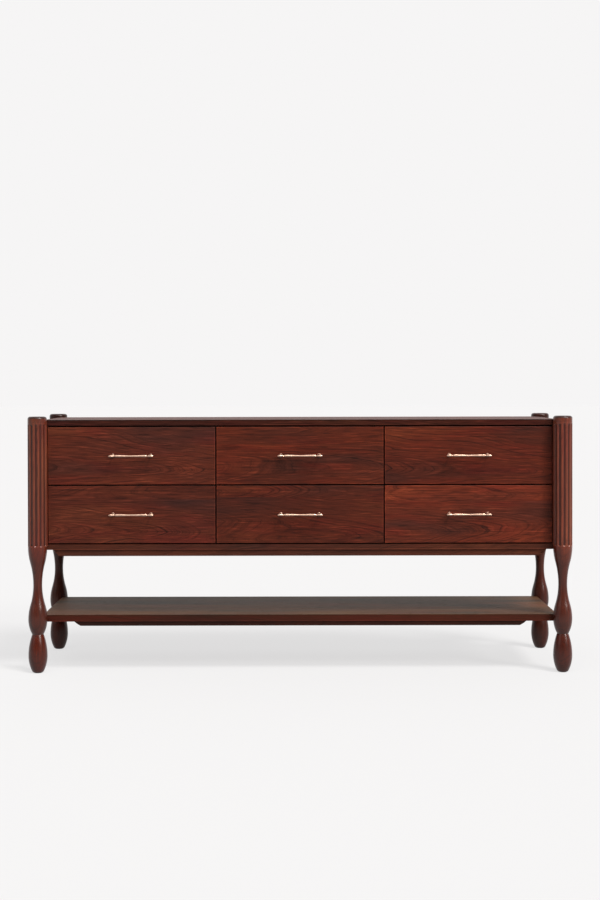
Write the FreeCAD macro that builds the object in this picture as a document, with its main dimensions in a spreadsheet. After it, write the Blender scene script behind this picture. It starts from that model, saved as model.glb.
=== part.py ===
import FreeCAD, Part
import math
import os
import types

import Sketcher

# A low dresser on four turned posts: six flush drawers, three wide and two high, with a shelf
# between the legs. Millimetres; +X to the viewer's right, the fronts face -Y, +Z up, and the
# origin is on the floor under the middle of the case.

SIZES = {
    # Overall size, over the posts and down to the floor
    "overall_width": 1829,
    "overall_depth": 508,
    "overall_height": 861,
    # Posts: a straight fluted column above, a turned baluster leg below
    "post_radius": 32,
    "post_stand": 12,
    "post_edge_bevel": 3,
    "column_low": 423.5,
    "neck_radius": 14.75,
    "neck_high": 295,
    "bulge_radius": 31.7,
    "bulge_high": 179.5,
    "waist_radius": 19,
    "waist_high": 129,
    "egg_radius": 31.75,
    "egg_high": 57,
    "foot_radius": 18,
    "upper_turn_share": 0.42,
    "lower_turn_share": 0.42,
    "flute_count": 12,
    "flute_cutter_radius": 8,
    "flute_depth": 3.2,
    "flute_end_length": 6.4,
    "flute_top_margin": 25,
    "flute_low_margin": 0.5,
    # Glides let into the feet
    "glide_radius": 13,
    "glide_thickness": 5,
    "glide_recess": 3,
    "glide_play": 0.3,
    # Case
    "case_inset": 14,
    "case_height": 438,
    "top_thickness": 20,
    "bottom_thickness": 18,
    "side_thickness": 18,
    "divider_thickness": 18,
    "divider_setback": 0.8,
    "back_thickness": 6,
    "back_inset": 3,
    "back_rebate": 9,
    "panel_edge_round": 1.5,
    # Aprons under the case and under the shelf
    "apron_thickness": 20,
    "apron_setback": 8,
    "case_apron_height": 22,
    "case_apron_inset": 37.5,
    "case_apron_run": 17.5,
    "case_apron_end_radius": 60,
    "shelf_apron_height": 15.5,
    "shelf_apron_inset": 104,
    "shelf_apron_run": 22.5,
    "shelf_apron_end_radius": 79,
    # Shelf
    "shelf_high": 191.5,
    "shelf_thickness": 23,
    # Drawer fronts
    "front_thickness": 20,
    "front_gap": 4,
    "front_side_gap": 2,
    "front_edge_round": 1.2,
    # Drawer boxes
    "box_lift": 14,
    "box_height": 150,
    "box_depth": 360,
    "box_side_thickness": 12,
    "box_end_thickness": 12,
    "box_bottom_thickness": 6,
    "box_bottom_lift": 12,
    "groove_depth": 6,
    "groove_play": 0.2,
    # Telescopic slides, three channels one inside the other
    "slide_thickness": 12.7,
    "slide_height": 45,
    "slide_length": 350,
    "slide_setback": 2,
    "slide_sheet": 1.2,
    "slide_play": 0.4,
    "slide_lip": 2.5,
    # Turned bar pulls
    "pull_centres": 128,
    "pull_length": 152,
    "pull_reach": 30,
    "pull_bar_radius": 3,
    "pull_swell_radius": 4.4,
    "pull_swell_length": 22,
    "pull_neck_radius": 2.4,
    "pull_neck_length": 3,
    "pull_finial_radius": 4.2,
    "pull_finial_length": 19,
    "pull_tip_radius": 2.4,
    "pull_tip_length": 5,
    "pull_post_radius": 3.2,
    "pull_base_radius": 6.5,
    "pull_base_thickness": 3,
}

COLUMNS = {"left": -1, "middle": 0, "right": 1}
ROWS = {"lower": 0, "upper": 1}
LEG_TURNS = {"front_left": 0, "front_right": 1, "rear_right": 2, "rear_left": 3}
CUTS = ("flute", "case_seat", "shelf_seat", "eased_edges")
FULL_TURN = 360
CENTRE_INDEX = 3
SAME_PLACE = 1e-6


class Length:
    """A size that knows its value and the sheet formula that a property is bound to."""

    def __init__(self, value, formula):
        self.value = value
        self.formula = formula

    def __add__(self, other):
        other = as_length(other)
        return Length(self.value + other.value, f"({self.formula} + {other.formula})")

    def __sub__(self, other):
        other = as_length(other)
        return Length(self.value - other.value, f"({self.formula} - {other.formula})")

    def __mul__(self, other):
        other = as_length(other)
        return Length(self.value * other.value, f"({self.formula} * {other.formula})")

    def __truediv__(self, other):
        other = as_length(other)
        return Length(self.value / other.value, f"({self.formula} / {other.formula})")

    def __rsub__(self, other):
        return as_length(other) - self

    def __rtruediv__(self, other):
        return as_length(other) / self

    def __neg__(self):
        return self * -1

    def root(self):
        return Length(math.sqrt(self.value), f"sqrt({self.formula})")


def as_length(number):
    return number if isinstance(number, Length) else Length(number, f"({number})")


def fill_sheet(sheet):
    """Write the sizes into the sheet and return them by name, each bound to its cell."""
    for row, (alias, number) in enumerate(SIZES.items(), start=1):
        sheet.set(f"A{row}", alias)
        sheet.set(f"B{row}", str(number))
        sheet.setAlias(f"B{row}", alias)
    doc.recompute()
    named = {alias: Length(float(sheet.get(alias)), f"{sheet.Name}.{alias}") for alias in SIZES}
    return types.SimpleNamespace(**named)


def bind(thing, **properties):
    """Bind properties to formulas; a double underscore stands for the dot of a nested one."""
    for path, length in properties.items():
        thing.setExpression(path.replace("__", "."), as_length(length).formula)


def place(thing, x=0, y=0, z=0):
    bind(thing, Placement__Base__x=x, Placement__Base__y=y, Placement__Base__z=z)


def fix(drawing, kind, *values):
    return drawing.addConstraint(Sketcher.Constraint(kind, *values))


def fix_bound(drawing, kind, index, length, *ends):
    """Add a constraint whose value is bound to the sheet."""
    number = fix(drawing, kind, index, *ends, length.value)
    name = f"size_{number}"
    drawing.renameConstraint(number, name)
    drawing.setExpression(f"Constraints.{name}", length.formula)


class Outline:
    """A closed outline of lines and arcs, drawn as a fully constrained sketch.

    Each corner is held by its two coordinates. An arc's centre is level with one of its ends, as
    high in the sketch. Where it has a radius instead, its centre is on the right of the way that
    the outline runs.
    """

    def __init__(self, x, y):
        self.corners = [(as_length(x), as_length(y))]
        self.bends = {}

    def line(self, x, y):
        self.corners.append((as_length(x), as_length(y)))
        return self

    def bend(self, **centre):
        """Make the segment that leaves the last corner an arc."""
        self.bends[len(self.corners) - 1] = centre
        return self

    def arc(self, x, y, **centre):
        return self.bend(**centre).line(x, y)

    def point(self, index):
        x, y = self.corners[index % len(self.corners)]
        return FreeCAD.Vector(x.value, y.value, 0)

    def centre(self, index):
        start = self.point(index)
        end = self.point(index + 1)
        bend = self.bends[index]
        if "radius" in bend:
            chord = end - start
            rise = math.sqrt(bend["radius"].value ** 2 - (chord.Length / 2) ** 2)
            rightwards = FreeCAD.Vector(chord.y, -chord.x, 0).normalize()
            return (start + end) / 2 + rightwards * rise
        near, far = (start, end) if bend["level"] == "start" else (end, start)
        gap = far - near
        return near + FreeCAD.Vector(gap.Length**2 / (2 * gap.x), 0, 0)

    def edge(self, index):
        start = self.point(index)
        end = self.point(index + 1)
        if index not in self.bends:
            return Part.LineSegment(start, end)
        centre = self.centre(index)
        towards_middle = ((start + end) / 2 - centre).normalize()
        return Part.Arc(start, centre + towards_middle * (start - centre).Length, end)

    def sketch(self, body, name, role, across=0, up=0, out=0):
        """Draw the outline on an origin plane, shifted in and out of that plane."""
        drawing = body.newObject("Sketcher::SketchObject", name)
        drawing.AttachmentSupport = (origin_part(body, role), [""])
        drawing.MapMode = "FlatFace"
        bind(drawing, AttachmentOffset__Base__x=across)
        bind(drawing, AttachmentOffset__Base__y=up)
        bind(drawing, AttachmentOffset__Base__z=out)
        for index in range(len(self.corners)):
            drawing.addGeometry(self.edge(index), False)
        ends = [self.ends_of(drawing, index) for index in range(len(self.corners))]
        for index, (start, end) in enumerate(ends):
            following = (index + 1) % len(ends)
            fix(drawing, "Coincident", index, end, following, ends[following][0])
        for index, (x, y) in enumerate(self.corners):
            self.hold(drawing, index, ends[index][0], x, "DistanceX", -2)
            self.hold(drawing, index, ends[index][0], y, "DistanceY", -1)
        for index, bend in self.bends.items():
            if "radius" in bend:
                fix_bound(drawing, "Radius", index, bend["radius"])
                continue
            level_end = ends[index][0 if bend["level"] == "start" else 1]
            fix(drawing, "Horizontal", index, CENTRE_INDEX, index, level_end)
        return drawing

    def ends_of(self, drawing, index):
        """The point numbers of a segment's start and end, because an arc may be kept reversed."""
        first = drawing.getPoint(index, 1)
        return (1, 2) if first.distanceToPoint(self.point(index)) < SAME_PLACE else (2, 1)

    def hold(self, drawing, index, end, length, kind, axis):
        """Hold a corner on the axis, or at its distance from it."""
        if length.value == 0:
            fix(drawing, "PointOnObject", index, end, axis)
        else:
            fix_bound(drawing, kind, index, length, end)


def rectangle(low_x, low_y, high_x, high_y):
    return Outline(low_x, low_y).line(low_x, high_y).line(high_x, high_y).line(high_x, low_y)


def new_body(label):
    body = doc.addObject("PartDesign::Body", label)
    body.AllowCompound = True
    return body


def origin_part(body, role):
    """A plane or an axis of the body's own origin."""
    return next(item for item in body.Origin.OriginFeatures if item.Role == role)


def feature(body, kind, name, **settings):
    made = body.newObject(f"PartDesign::{kind}", name)
    for key, setting in settings.items():
        setattr(made, key, setting)
    return made


def pad(body, outline, role, length, start=0, reverse=False):
    """Pad an outline that lies this far along its plane's normal."""
    drawing = outline.sketch(body, "board_outline", role, out=start)
    made = feature(body, "Pad", "board", Profile=drawing, Reversed=reverse)
    bind(made, Length=length)
    return made


def turned(body, kind, name, drawing, axis):
    """A full turn of a sketch about one of its own axes."""
    return feature(body, kind, name, Profile=drawing, ReferenceAxis=(drawing, [axis]), Angle=FULL_TURN)


def mirrored(body, originals, role):
    plane = origin_part(body, role)
    made = feature(body, "Mirrored", "other_side", Originals=originals, MirrorPlane=(plane, [""]))
    body.Tip = made
    return made


def ease_edges(body, base, radius, wanted):
    """Round those edges of a feature whose extents pass the test."""
    doc.recompute()
    edges = enumerate(base.Shape.Edges, start=1)
    names = [f"Edge{number}" for number, edge in edges if wanted(edge.BoundBox)]
    made = feature(body, "Fillet", "eased_edges", Base=(base, names))
    bind(made, Radius=radius)
    return made


def board(label, low, high):
    """A plain square-edged board between two corners."""
    made = doc.addObject("Part::Box", label)
    bind(made, Length=high[0] - low[0], Width=high[1] - low[1], Height=high[2] - low[2])
    place(made, *low)
    return made


def group(label, members):
    """Loose like pieces that share one name."""
    made = doc.addObject("Part::Compound", label)
    made.Links = members
    return made


def make_leg(name, turn):
    """A post and leg in one turning, fluted above and cut out to seat the case and the shelf."""
    body = new_body(f"leg_{name}")
    foot_low = size.glide_thickness - size.glide_recess
    recess_radius = size.glide_radius + size.glide_play
    upper_slope = size.post_radius - size.neck_radius
    upper_drop = size.column_low - size.neck_high
    lower_slope = size.bulge_radius - size.neck_radius
    lower_rise = size.neck_high - size.bulge_high
    upper_turn_radius = size.post_radius - upper_slope * size.upper_turn_share
    upper_turn_high = size.column_low - upper_drop * size.upper_turn_share
    lower_turn_radius = size.bulge_radius - lower_slope * size.lower_turn_share
    lower_turn_high = size.bulge_high + lower_rise * size.lower_turn_share
    profile = (
        Outline(0, size.glide_thickness)
        .line(recess_radius, size.glide_thickness)
        .line(recess_radius, foot_low)
        .line(size.foot_radius, foot_low)
        .arc(size.egg_radius, size.egg_high, level="end")
        .arc(size.waist_radius, size.waist_high, level="start")
        .arc(size.bulge_radius, size.bulge_high, level="end")
        .arc(lower_turn_radius, lower_turn_high, level="start")
        .arc(size.neck_radius, size.neck_high, level="end")
        .arc(upper_turn_radius, upper_turn_high, level="start")
        .arc(size.post_radius, size.column_low, level="end")
        .line(size.post_radius, size.overall_height - size.post_edge_bevel)
        .line(size.post_radius - size.post_edge_bevel, size.overall_height)
        .line(0, size.overall_height)
    )
    turned(body, "Revolution", "turning", profile.sketch(body, "profile", "XZ_Plane"), "V_Axis")
    cut_flutes(body)
    cut_seat(body, "case_seat", top_high, size.case_height)
    cut_seat(body, "shelf_seat", size.shelf_high, size.shelf_thickness)
    facing = FreeCAD.Rotation(FreeCAD.Vector(0, 0, 1), turn * FULL_TURN / 4)
    body.Placement = FreeCAD.Placement(FreeCAD.Vector(), facing)
    side = 1 if "right" in name else -1
    end = 1 if "rear" in name else -1
    place(body, post_x * side, post_y * end)
    return body


def cut_flutes(body):
    """Flutes with tapered ends all round the column, but for the corner that seats the case."""
    cutter_radius = size.flute_cutter_radius
    tip_length = size.flute_end_length * cutter_radius / size.flute_depth
    low = size.column_low + size.flute_low_margin + size.flute_end_length
    high = size.overall_height - size.flute_top_margin - size.flute_end_length
    cutter = (
        Outline(0, low - tip_length)
        .line(-cutter_radius, low)
        .line(-cutter_radius, high)
        .line(0, high + tip_length)
    )
    middle = size.post_radius + cutter_radius - size.flute_depth
    drawing = cutter.sketch(body, "flute_outline", "XZ_Plane", across=middle)
    first = turned(body, "Groove", "flute", drawing, "V_Axis")
    axis = (origin_part(body, "Z_Axis"), [""])
    flutes = feature(body, "PolarPattern", "flutes", Originals=[first], Axis=axis, Reversed=True)
    left_out = size.flute_count / 4 - 1
    bind(flutes, Occurrences=size.flute_count - left_out)
    bind(flutes, Angle=FULL_TURN - FULL_TURN / size.flute_count * (left_out + 1))
    body.Tip = flutes


def cut_seat(body, name, high, depth):
    """Cut the corner away that faces the middle of the dresser, down from a height."""
    far = size.case_inset + size.post_radius
    outline = rectangle(size.case_inset, size.case_inset, far, far)
    drawing = outline.sketch(body, f"{name}_outline", "XY_Plane", out=high)
    bind(feature(body, "Pocket", name, Profile=drawing), Length=depth)


def make_glides():
    """Round glides under the feet, let into them and a little proud."""
    glides = []
    for side in (-1, 1):
        for end in (-1, 1):
            glide = doc.addObject("Part::Cylinder", "glide")
            bind(glide, Radius=size.glide_radius, Height=size.glide_thickness)
            place(glide, post_x * side, post_y * end)
            glides.append(glide)
    return group("leg_glides", glides)


def make_panel(label, low, thickness):
    """A full-width panel with its long edges and its top edges eased."""
    body = new_body(label)
    plan = rectangle(-case_x, -case_y, case_x, case_y)
    slab = pad(body, plan, "XY_Plane", thickness, start=low)
    high = (low + thickness).value

    def wanted(extent):
        return extent.XLength > extent.YLength or extent.ZMin > high - SAME_PLACE

    ease_edges(body, slab, size.panel_edge_round, wanted)
    return body


def make_side(name, side):
    """A side panel, rebated behind for the back."""
    body = new_body(f"side_panel_{name}")
    plan = (
        Outline(inner_x * side, -case_y)
        .line(case_x * side, -case_y)
        .line(case_x * side, case_y)
        .line((inner_x + size.back_rebate) * side, case_y)
        .line((inner_x + size.back_rebate) * side, back_front)
        .line(inner_x * side, back_front)
    )
    pad(body, plan, "XY_Plane", opening_height, start=bottom_high)
    return body


def make_apron(label, end, high, height, inset, run, end_radius):
    """A rail under a panel, set back from its face, whose ends sweep up in a shallow curve."""
    body = new_body(label)
    top_end = case_x - inset
    low_end = top_end - run
    outline = (
        Outline(-top_end, high)
        .line(top_end, high)
        .arc(low_end, high - height, radius=end_radius)
        .line(-low_end, high - height)
        .bend(radius=end_radius)
    )
    face = case_y - size.apron_setback
    pad(body, outline, "XZ_Plane", size.apron_thickness, start=-face * end, reverse=end < 0)
    return body


def make_case():
    """The fixed woodwork: four posts, the case with its dividers, the shelf and the aprons."""
    pieces = [make_leg(name, turn) for name, turn in LEG_TURNS.items()]
    pieces.append(make_glides())
    pieces.append(make_panel("top_panel", top_low, size.top_thickness))
    pieces.append(make_panel("shelf_panel", shelf_low, size.shelf_thickness))
    case_bottom = board("case_bottom", (-case_x, -case_y, bottom_low), (case_x, case_y, bottom_high))
    pieces.append(case_bottom)
    for name, side in (("left", -1), ("right", 1)):
        pieces.append(make_side(name, side))
        divider_x = (bay_width + size.divider_thickness) / 2 * side
        half = size.divider_thickness / 2
        front_end = box_front + size.divider_setback
        low = (divider_x - half, front_end, bottom_high)
        pieces.append(board(f"divider_{name}", low, (divider_x + half, back_front, top_low)))
    back_end = inner_x + size.back_rebate
    back_rear = back_front + size.back_thickness
    low = (-back_end, back_front, bottom_high)
    pieces.append(board("back_panel", low, (back_end, back_rear, top_low)))
    for name, end in (("front", -1), ("rear", 1)):
        case_apron = (size.case_apron_height, size.case_apron_inset, size.case_apron_run)
        shelf_apron = (size.shelf_apron_height, size.shelf_apron_inset, size.shelf_apron_run)
        label = f"case_apron_{name}"
        pieces.append(make_apron(label, end, bottom_low, *case_apron, size.case_apron_end_radius))
        label = f"shelf_apron_{name}"
        pieces.append(make_apron(label, end, shelf_low, *shelf_apron, size.shelf_apron_end_radius))
    return pieces


def make_front(name, x, low):
    """An inset drawer front, its face flush with the case."""
    body = new_body(f"drawer_front_{name}")
    outline = rectangle(-front_width / 2, -front_height / 2, front_width / 2, front_height / 2)
    slab = pad(body, outline, "XZ_Plane", size.front_thickness, reverse=True)
    ease_edges(body, slab, size.front_edge_round, lambda extent: extent.YMax < SAME_PLACE)
    place(body, x, -case_y, low + front_height / 2)
    return body


def grooved(outer, inner, groove):
    """The section of a box wall, with the groove that holds the drawer's bottom."""
    groove_low = size.box_bottom_lift
    groove_high = groove_low + size.box_bottom_thickness + size.groove_play
    return (
        Outline(outer, 0)
        .line(outer, size.box_height)
        .line(inner, size.box_height)
        .line(inner, groove_high)
        .line(groove, groove_high)
        .line(groove, groove_low)
        .line(inner, groove_low)
        .line(inner, 0)
    )


def make_box(name, x, low):
    """The drawer's box, behind its front: two sides, two ends and a bottom in their grooves."""
    middle = (x, box_front + size.box_depth / 2, low)
    half_width = box_width / 2
    half_depth = size.box_depth / 2
    side_inner = half_width - size.box_side_thickness
    end_inner = half_depth - size.box_end_thickness

    sides = new_body(f"drawer_sides_{name}")
    section = grooved(-half_width, -side_inner, -side_inner - size.groove_depth)
    left = pad(sides, section, "XZ_Plane", size.box_depth, start=half_depth, reverse=True)
    mirrored(sides, [left], "YZ_Plane")
    place(sides, *middle)

    ends = new_body(f"drawer_ends_{name}")
    section = grooved(-half_depth, -end_inner, -end_inner - size.groove_depth)
    front = pad(ends, section, "YZ_Plane", side_inner * 2, start=-side_inner)
    mirrored(ends, [front], "XZ_Plane")
    place(ends, *middle)

    reach_x = side_inner + size.groove_depth - size.groove_play
    reach_y = end_inner + size.groove_depth - size.groove_play
    bottom_low = low + size.box_bottom_lift
    corner_low = (x - reach_x, middle[1] - reach_y, bottom_low)
    corner_high = (x + reach_x, middle[1] + reach_y, bottom_low + size.box_bottom_thickness)
    return [sides, ends, board(f"drawer_bottom_{name}", corner_low, corner_high)]


def channel(upper):
    """A channel's section from its upper half, which runs from inside the web to its back."""
    outline = Outline(*upper[0])
    for x, z in upper[1:]:
        outline.line(x, z)
    for x, z in reversed(upper):
        outline.line(x, -z)
    return outline


def slide_sections():
    """The left-hand fixed, middle and drawer members, each held by the lips of the one outside it."""
    sheet = size.slide_sheet
    play = size.slide_play
    wall = -bay_width / 2
    fixed_rim = wall + size.slide_thickness - sheet - play
    fixed_half = size.slide_height / 2
    lip_tip = fixed_half - sheet - size.slide_lip
    middle_web = wall + sheet + play
    middle_rim = fixed_rim - sheet - play
    middle_half = fixed_half - sheet - play
    drawer_web = wall + size.slide_thickness
    drawer_rim = middle_web + sheet + play
    drawer_half = lip_tip - play
    fixed = [
        (wall + sheet, fixed_half - sheet),
        (fixed_rim - sheet, fixed_half - sheet),
        (fixed_rim - sheet, lip_tip),
        (fixed_rim, lip_tip),
        (fixed_rim, fixed_half),
        (wall, fixed_half),
    ]
    middle = [
        (middle_web + sheet, middle_half - sheet),
        (middle_rim - sheet, middle_half - sheet),
        (middle_rim - sheet, lip_tip),
        (middle_rim, lip_tip),
        (middle_rim, middle_half),
        (middle_web, middle_half),
    ]
    drawer = [
        (drawer_web - sheet, drawer_half - sheet),
        (drawer_rim, drawer_half - sheet),
        (drawer_rim, middle_half - sheet - play),
        (drawer_rim + sheet, middle_half - sheet - play),
        (drawer_rim + sheet, drawer_half),
        (drawer_web, drawer_half),
    ]
    return {"fixed": fixed, "middle": middle, "drawer": drawer}


def make_slides(name, x, low):
    """Both slides of one drawer, as a fixed, a middle and a drawer pair of members."""
    members = {}
    for member, section in slide_sections().items():
        body = new_body(f"{member}_slides_{name}")
        left = pad(body, channel(section), "XZ_Plane", size.slide_length, reverse=True)
        mirrored(body, [left], "YZ_Plane")
        place(body, x, box_front + size.slide_setback, low + size.box_height / 2)
        members[member] = body
    return members


def make_pull(name, x, z):
    """A turned bar that swells towards a neck and a finial over each of its two posts."""
    body = new_body(f"pull_{name}")
    bar_end = size.pull_length / 2
    finial_end = bar_end - size.pull_finial_length
    neck_end = finial_end - size.pull_neck_length
    beads = [
        (bar_end, size.pull_tip_radius),
        (bar_end - size.pull_tip_length, size.pull_finial_radius),
        (finial_end, size.pull_finial_radius),
        (finial_end, size.pull_neck_radius),
        (neck_end, size.pull_neck_radius),
        (neck_end, size.pull_swell_radius),
        (neck_end - size.pull_swell_length, size.pull_bar_radius),
    ]
    bar = Outline(bar_end, 0)
    for along, radius in beads:
        bar.line(along, radius)
    for along, radius in reversed(beads):
        bar.line(-along, radius)
    bar.line(-bar_end, 0)
    drawing = bar.sketch(body, "bar_outline", "XY_Plane", up=-size.pull_reach)
    turned(body, "Revolution", "bar", drawing, "H_Axis")
    post = (
        Outline(0, 0)
        .line(0, -size.pull_reach)
        .line(size.pull_post_radius, -size.pull_reach)
        .line(size.pull_post_radius, -size.pull_base_thickness)
        .line(size.pull_base_radius, -size.pull_base_thickness)
        .line(size.pull_base_radius, 0)
    )
    drawing = post.sketch(body, "post_outline", "XY_Plane", across=size.pull_centres / 2)
    mirrored(body, [turned(body, "Revolution", "post", drawing, "V_Axis")], "YZ_Plane")
    place(body, x, -case_y, z)
    return body


def make_drawers():
    """Six drawers, each with its front, box, pull and the moving members of its slides."""
    pieces = []
    fixed_members = []
    for row, up in ROWS.items():
        low = bottom_high + size.front_gap + (front_height + size.front_gap) * up
        for column, across in COLUMNS.items():
            name = f"{row}_{column}"
            front_x = (front_width + size.front_gap) * across
            bay_x = (bay_width + size.divider_thickness) * across
            members = make_slides(name, bay_x, low + size.box_lift)
            fixed_members.append(members["fixed"])
            pieces.append(make_front(name, front_x, low))
            pieces.append(make_pull(name, front_x, low + front_height / 2))
            pieces += make_box(name, bay_x, low + size.box_lift)
            pieces += [members["middle"], members["drawer"]]
    return [group("fixed_slides", fixed_members)] + pieces


def check_features():
    """Stop if anything failed, or if a cut removed nothing or a pad added nothing."""
    for thing in doc.Objects:
        if {"Invalid", "Error"} & set(thing.State):
            raise RuntimeError(f"{thing.Label} failed: {thing.State}")
    for body in doc.findObjects("PartDesign::Body"):
        volume = 0
        for item in body.Group:
            if not item.isDerivedFrom("PartDesign::Feature"):
                continue
            grown = item.Shape.Volume - volume
            if grown == 0 or (grown < 0) != item.Name.startswith(CUTS):
                raise RuntimeError(f"{body.Label}: {item.Label} changed the volume by {grown}")
            volume = item.Shape.Volume


def write_pieces(pieces):
    for piece in pieces:
        if piece.Shape.isNull() or not piece.Shape.isValid():
            raise RuntimeError(f"{piece.Label} has no valid shape")
    os.makedirs("parts", exist_ok=True)
    for piece in pieces:
        piece.Shape.exportStep(f"parts/{piece.Label}.step")
        print(f"{piece.Label}: {len(piece.Shape.Solids)} solids, {piece.Shape.Volume:.0f} mm3")


doc = FreeCAD.newDocument("dresser")
size = fill_sheet(doc.addObject("Spreadsheet::Sheet", "Sizes"))

post_x = size.overall_width / 2 - size.post_radius
post_y = size.overall_depth / 2 - size.post_radius
case_x = post_x - size.case_inset
case_y = post_y - size.case_inset
inner_x = case_x - size.side_thickness
top_high = size.overall_height - size.post_stand
top_low = top_high - size.top_thickness
bottom_low = top_high - size.case_height
bottom_high = bottom_low + size.bottom_thickness
opening_height = top_low - bottom_high
back_front = case_y - size.back_inset - size.back_thickness
shelf_low = size.shelf_high - size.shelf_thickness
box_front = -case_y + size.front_thickness
bay_width = (inner_x * 2 - size.divider_thickness * (len(COLUMNS) - 1)) / len(COLUMNS)
box_width = bay_width - size.slide_thickness * 2
faces_width = (inner_x - size.front_side_gap) * 2
front_width = (faces_width - size.front_gap * (len(COLUMNS) - 1)) / len(COLUMNS)
front_height = (opening_height - size.front_gap * (len(ROWS) + 1)) / len(ROWS)

pieces = make_case() + make_drawers()
doc.recompute()
check_features()
write_pieces(pieces)
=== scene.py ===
import math

import bmesh
import bpy
from mathutils import Matrix, Vector


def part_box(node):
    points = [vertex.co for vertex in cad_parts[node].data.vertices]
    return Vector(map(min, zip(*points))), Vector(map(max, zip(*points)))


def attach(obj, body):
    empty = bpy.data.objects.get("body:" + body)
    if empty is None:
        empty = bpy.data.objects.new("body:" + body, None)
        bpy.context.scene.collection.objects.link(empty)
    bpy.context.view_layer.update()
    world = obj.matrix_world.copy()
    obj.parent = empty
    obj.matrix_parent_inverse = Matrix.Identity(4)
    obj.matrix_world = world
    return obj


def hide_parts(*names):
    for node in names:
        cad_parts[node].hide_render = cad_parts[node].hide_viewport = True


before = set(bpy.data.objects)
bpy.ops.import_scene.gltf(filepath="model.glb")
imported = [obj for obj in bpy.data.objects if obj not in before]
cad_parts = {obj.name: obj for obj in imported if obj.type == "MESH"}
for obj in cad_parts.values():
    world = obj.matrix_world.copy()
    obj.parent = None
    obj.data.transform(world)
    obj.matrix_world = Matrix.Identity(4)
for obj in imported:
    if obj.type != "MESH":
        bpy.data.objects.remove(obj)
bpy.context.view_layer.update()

# A low dresser of dark stained oak on turned and fluted posts, with brass bar pulls. Metres, in
# the frame's own axes: +X to the viewer's right, the fronts face -Y, +Z up.

FULL_TURN = math.tau
QUARTER_TURN = math.pi / 2
RIGHTWARDS = Vector((1, 0, 0))
FORWARDS = Vector((0, -1, 0))
BACKWARDS = Vector((0, 1, 0))
UPWARDS = Vector((0, 0, 1))
DRAWERS = [f"{row}_{column}" for row in ("lower", "upper") for column in ("left", "middle", "right")]

# Camera, as it stood for the photograph
LENS = 57.69
CAMERA_PLACE = Vector((-0.03, -5.064, 0.9666))
CAMERA_YAW = math.radians(-0.004)
CAMERA_PITCH = math.radians(-0.633)
CAMERA_ROLL = math.radians(-0.106)
CAMERA_SHIFT_X = 0.0099
CAMERA_SHIFT_Y = -0.0549

# Turned post, from the foot up
FOOT_LOW = 0.002
FOOT_RADIUS = 0.018
FOOT_EASE = 0.001
EGG_HIGH = 0.057
EGG_RADIUS = 0.03175
WAIST_HIGH = 0.129
WAIST_RADIUS = 0.019
BULGE_HIGH = 0.1795
BULGE_RADIUS = 0.0317
NECK_HIGH = 0.295
NECK_RADIUS = 0.01475
COLUMN_LOW = 0.4235
COLUMN_RADIUS = 0.032
TURN_SHARE = 0.42
RIM_ROUND = 0.0085
RIM_STEPS = 6
FLUTES = 12
FLUTE_CUTTER = 0.008
FLUTE_DEPTH = 0.0032
FLUTE_LOW = 0.424
FLUTE_HIGH = 0.836
FLUTE_END_REACH = math.sqrt(FLUTE_DEPTH * (2 * FLUTE_CUTTER - FLUTE_DEPTH))
FLUTE_END_ROWS = 14
FLUTE_MIDDLE_ROWS = 6
POST_STEPS = 240
POST_SHARP = math.radians(40)
SEAT_INSET = 0.014

# Bar pull: how far along from its middle, and how thick
PULL_REACH = 0.030
PULL_POST_AT = 0.064
PULL_POST_RADIUS = 0.0029
PULL_BASE_RADIUS = 0.0065
PULL_BASE_EASE = 0.0003
PULL_BASE_RIM = 0.0016
PULL_COVE_RADIUS = 0.0059
PULL_COVE_END = 0.010
PULL_COVE_STEPS = 10
PULL_STEM_SINK = 0.002
PULL_BEADS = (
    (0.0, 0.0028),
    (0.048, 0.0044),
    (0.0522, 0.0038),
    (0.0555, 0.0022),
    (0.0590, 0.0032),
    (0.0670, 0.0042),
)
PULL_LONG_BEAD = 0.02
PULL_END = 0.076
PULL_TIP_STEPS = 12
PULL_STEPS = 48

# Round head of a pull screw, from its seat out
SCREW_OUTLINE = (
    (0.0, 0.0),
    (0.0, 0.0045),
    (0.0008, 0.0045),
    (0.0018, 0.0038),
    (0.0025, 0.0024),
    (0.0027, 0.0),
)
SCREW_STEPS = 24
DRAWER_END_THICK = 0.012


# Colours

def colour(red, green, blue):
    """A shader colour from the 0 to 255 values that a picture shows."""
    def linear(value):
        share = value / 255
        return share / 12.92 if share <= 0.04045 else ((share + 0.055) / 1.055) ** 2.4

    return (linear(red), linear(green), linear(blue), 1.0)


def grey(level):
    return (level, level, level, 1.0)


BACKDROP = colour(246, 245, 245)
STUDIO_WHITE = colour(244, 244, 246)
STAINS = (
    (0.32, colour(66, 30, 23)),
    (0.45, colour(84, 34, 22)),
    (0.56, colour(92, 36, 22)),
    (0.70, colour(101, 44, 26)),
)
RED_STAIN = colour(98, 26, 20)
PORE_STAIN = colour(36, 16, 14)
BIRCH_LIGHT = colour(206, 170, 124)
BIRCH_DARK = colour(182, 142, 98)
BIRCH_FACE_LIGHT = colour(214, 182, 138)
BIRCH_FACE_DARK = colour(196, 160, 114)
BRASS_LIGHT = colour(228, 192, 170)
BRASS_DARK = colour(202, 162, 138)
ZINC_LIGHT = colour(206, 208, 210)
ZINC_DARK = colour(176, 179, 184)
GLIDE_LIGHT = colour(34, 31, 30)
GLIDE_DARK = colour(22, 20, 20)

# Oak: how its rings widen, wander and waver, then the rings to a metre with each kind's share
RING_SLANT = 0.08
RING_WANDER = 0.13
RING_WAVER = 0.006
RING_PACES = ((340.0, 0.6), (1050.0, 0.4))
FIBRE_SHARE = 0.8
STREAK_SHARE = 0.9
PORE_SHARE = 0.7
OAK_ROUGHNESS = 0.38
PORE_ROUGHNESS = 0.22
FIBRE_ROUGHNESS = 0.12
FIBRE_HEIGHT = 0.35
OAK_RELIEF = 0.0004
COAT_ROUGHNESS = 0.3

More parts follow.
